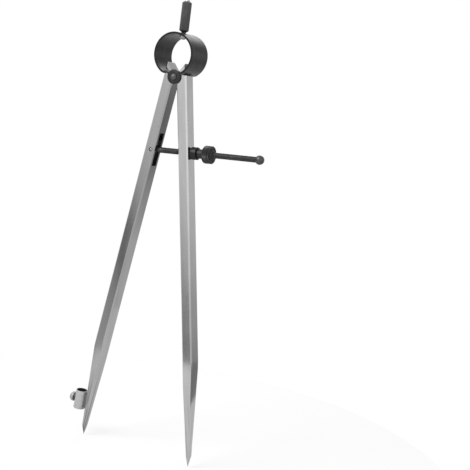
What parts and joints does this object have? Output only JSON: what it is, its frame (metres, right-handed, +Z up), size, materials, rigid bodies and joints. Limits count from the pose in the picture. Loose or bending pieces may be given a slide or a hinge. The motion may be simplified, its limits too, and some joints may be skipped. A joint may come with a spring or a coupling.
{
  "type": "drawing compass",
  "caption": "Bow-spring drawing compass: two pointed steel legs on a pivot, a threaded spindle with a knurled nut sets their opening, and a sleeve by one point holds a pencil.",
  "frame": {"origin": "centre of the handle's flat top face", "axes": "+Z up the handle away from the points, +X across the legs towards the adjusting nut, -Y at the front"},
  "size_m": [0.1447, 0.0244, 0.3537],
  "materials": {
    "bow_spring": "black oxide",
    "handle": "black oxide",
    "handle_nut": "bright plated",
    "pivot_roller": "ground steel",
    "front_pivot_disc": "black oxide",
    "rear_pivot_disc": "black oxide",
    "pivot_rivet": "black oxide",
    "left_leg": "ground steel",
    "right_leg": "ground steel",
    "spindle": "black oxide",
    "spindle_pin": "ground steel",
    "spindle_ball": "black oxide",
    "thrust_washer": "black oxide",
    "adjusting_nut": "black oxide",
    "sleeve_saddle": "bright plated",
    "pencil_sleeve": "bright plated",
    "clamp_bush": "black oxide",
    "clamp_screw": "bright plated"
  },
  "bodies": {
    "bow": {"bow_spring": "bow_spring", "handle": "handle", "handle_nut": "handle_nut"},
    "pivot": {"pivot_roller": "pivot_roller", "front_pivot_disc": "front_pivot_disc", "rear_pivot_disc": "rear_pivot_disc", "pivot_rivet": "pivot_rivet"},
    "left_leg": {"left_leg": "left_leg", "spindle_pin": "spindle_pin", "sleeve_saddle": "sleeve_saddle", "pencil_sleeve": "pencil_sleeve", "clamp_bush": "clamp_bush"},
    "right_leg": {"right_leg": "right_leg"},
    "spindle": {"spindle": "spindle", "spindle_ball": "spindle_ball"},
    "washer": {"thrust_washer": "thrust_washer"},
    "nut": {"adjusting_nut": "adjusting_nut"},
    "clamp_screw": {"clamp_screw": "clamp_screw"}
  },
  "joints": [
    {"name": "pivot_ride", "type": "slide", "parent": "bow", "child": "pivot", "axis": [0, 0, -1], "range_m": [-0.00134, 0.00244]},
    {"name": "left_leg_swing", "type": "hinge", "parent": "pivot", "child": "left_leg", "pos_m": [0, 0, -0.0577], "axis": [0, 1, 0], "range_deg": [-9, 16.5]},
    {"name": "right_leg_swing", "type": "hinge", "parent": "pivot", "child": "right_leg", "pos_m": [0, 0, -0.0577], "axis": [0, -1, 0], "range_deg": [-9, 16.5]},
    {"name": "spindle_swivel", "type": "hinge", "parent": "left_leg", "child": "spindle", "pos_m": [-0.01347, 0, -0.11428], "axis": [0, -1, 0], "range_deg": [-9, 16.5]},
    {"name": "nut_travel", "type": "slide", "parent": "spindle", "child": "washer", "axis": [0.9987, 0, 0.0506], "range_m": [-0.01816, 0.03322]},
    {"name": "nut_turn", "type": "hinge", "parent": "washer", "child": "nut", "pos_m": [0.02949, 0, -0.1121], "axis": [0.9987, 0, 0.0506], "range_deg": [-9300, 17042]},
    {"name": "clamp_screw_turn", "type": "hinge", "parent": "left_leg", "child": "clamp_screw", "pos_m": [-0.06125, 0, -0.32451], "axis": [-0.9969, 0, 0.0782], "continuous": true}
  ],
  "couplings": [
    {"joint": "right_leg_swing", "follows": "left_leg_swing", "ratio": 1},
    {"joint": "pivot_ride", "follows": "left_leg_swing", "m_per_rad": 0.0084},
    {"joint": "spindle_swivel", "follows": "left_leg_swing", "ratio": 1},
    {"joint": "nut_travel", "follows": "left_leg_swing", "m_per_rad": 0.115},
    {"joint": "nut_turn", "follows": "left_leg_swing", "ratio": 1032.2}
  ]
}
